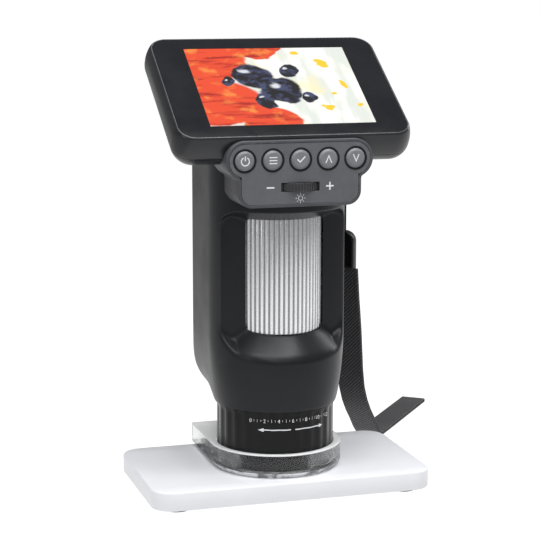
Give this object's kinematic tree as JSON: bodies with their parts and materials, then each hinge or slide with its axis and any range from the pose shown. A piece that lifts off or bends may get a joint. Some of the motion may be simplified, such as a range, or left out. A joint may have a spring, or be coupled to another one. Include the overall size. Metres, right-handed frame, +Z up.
{
  "type": "digital microscope",
  "caption": "Stand digital microscope with a tilted screen on a round-fronted body, a ribbed focus drum and a button panel, standing in a clear holder on a base plate.",
  "frame": {"origin": "on the table, on the optical axis, which is the middle of the base's footprint", "axes": "+Z up the optical axis, +X to the right and -Y to the front, where the user sits"},
  "size_m": [0.175, 0.1555, 0.1897],
  "materials": {
    "white_plastic": "satin white",
    "rubber": "matt",
    "clear_acrylic": "clear, polished edges",
    "steel": "plain",
    "charcoal_plastic": "satin, fine grain",
    "grey_plastic": "matt",
    "button_plastic": "satin, with a printed symbol",
    "wheel_plastic": "satin",
    "drum_metal": "bright, ribbed",
    "ring_plastic": "gloss black",
    "inner_plastic": "matt",
    "dark_glass": "gloss, dark tint",
    "lens_glass": "polished",
    "diffuser_plastic": "frosted",
    "lcd_metal": "plain",
    "circuit_board": "solder mask",
    "battery_wrap": "shrink wrap",
    "led_plastic": "gloss",
    "webbing": "woven",
    "cord": "braided",
    "clasp_plastic": "satin"
  },
  "bodies": {
    "base": {"base_plate": "white_plastic", "rubber_feet": "rubber", "clear_holder": "clear_acrylic", "holder_screws": "steel"},
    "microscope": {"body_shell": "charcoal_plastic", "rear_cover": "charcoal_plastic", "cover_screws": "steel", "optics_frame": "inner_plastic", "guide_tube": "inner_plastic", "image_sensor_board": "circuit_board", "battery": "battery_wrap", "display_shell": "charcoal_plastic", "display_back": "charcoal_plastic", "head_screws": "steel", "cover_glass": "dark_glass", "lcd_module": "lcd_metal", "main_board": "circuit_board", "usb_socket": "steel", "card_slot": "steel", "panel_housing": "charcoal_plastic", "face_plate": "grey_plastic", "switch_board": "circuit_board", "tact_switches": "steel", "panel_screws": "steel", "dimmer": "inner_plastic", "strap_cord": "cord", "strap_clasp": "clasp_plastic", "strap_webbing": "webbing"},
    "power_key": {"power_button": "button_plastic"},
    "menu_key": {"menu_button": "button_plastic"},
    "ok_key": {"ok_button": "button_plastic"},
    "up_key": {"up_button": "button_plastic"},
    "down_key": {"down_button": "button_plastic"},
    "wheel": {"brightness_wheel": "wheel_plastic"},
    "drum": {"focus_drum": "drum_metal"},
    "carriage": {"lens_carriage": "inner_plastic", "objective_lens": "lens_glass"},
    "nose": {"nose_tube": "inner_plastic", "light_board": "circuit_board", "leds": "led_plastic", "diffuser": "diffuser_plastic"},
    "ring": {"distance_ring": "ring_plastic"}
  },
  "joints": [
    {"name": "lift_off", "type": "slide", "parent": "base", "child": "microscope", "axis": [0, 0, 1], "range_m": [0, 0.06]},
    {"name": "power_press", "type": "slide", "parent": "microscope", "child": "power_key", "axis": [0, 1, 0], "range_m": [0, 0.0008], "stiffness_N_per_m": 1500},
    {"name": "menu_press", "type": "slide", "parent": "microscope", "child": "menu_key", "axis": [0, 1, 0], "range_m": [0, 0.0008], "stiffness_N_per_m": 1500},
    {"name": "ok_press", "type": "slide", "parent": "microscope", "child": "ok_key", "axis": [0, 1, 0], "range_m": [0, 0.0008], "stiffness_N_per_m": 1500},
    {"name": "up_press", "type": "slide", "parent": "microscope", "child": "up_key", "axis": [0, 1, 0], "range_m": [0, 0.0008], "stiffness_N_per_m": 1500},
    {"name": "down_press", "type": "slide", "parent": "microscope", "child": "down_key", "axis": [0, 1, 0], "range_m": [0, 0.0008], "stiffness_N_per_m": 1500},
    {"name": "brightness_turn", "type": "hinge", "parent": "microscope", "child": "wheel", "pos_m": [0, -0.02565, 0.13275], "axis": [0, 0, 1], "range_deg": [-135, 135]},
    {"name": "focus_turn", "type": "hinge", "parent": "microscope", "child": "drum", "pos_m": [0, 0, 0.0938], "axis": [0, 0, 1], "range_deg": [-150, 150]},
    {"name": "focus_slide", "type": "slide", "parent": "microscope", "child": "carriage", "axis": [0, 0, 1], "range_m": [-0.005, 0.005]},
    {"name": "distance_slide", "type": "slide", "parent": "microscope", "child": "nose", "axis": [0, 0, 1], "range_m": [0, 0.006]},
    {"name": "distance_turn", "type": "hinge", "parent": "nose", "child": "ring", "pos_m": [0, 0, 0.025], "axis": [0, 0, 1], "range_deg": [0, 270]}
  ],
  "couplings": [
    {"joint": "focus_turn", "follows": "focus_slide", "rad_per_m": 523.59},
    {"joint": "distance_turn", "follows": "distance_slide", "rad_per_m": 785.39}
  ]
}
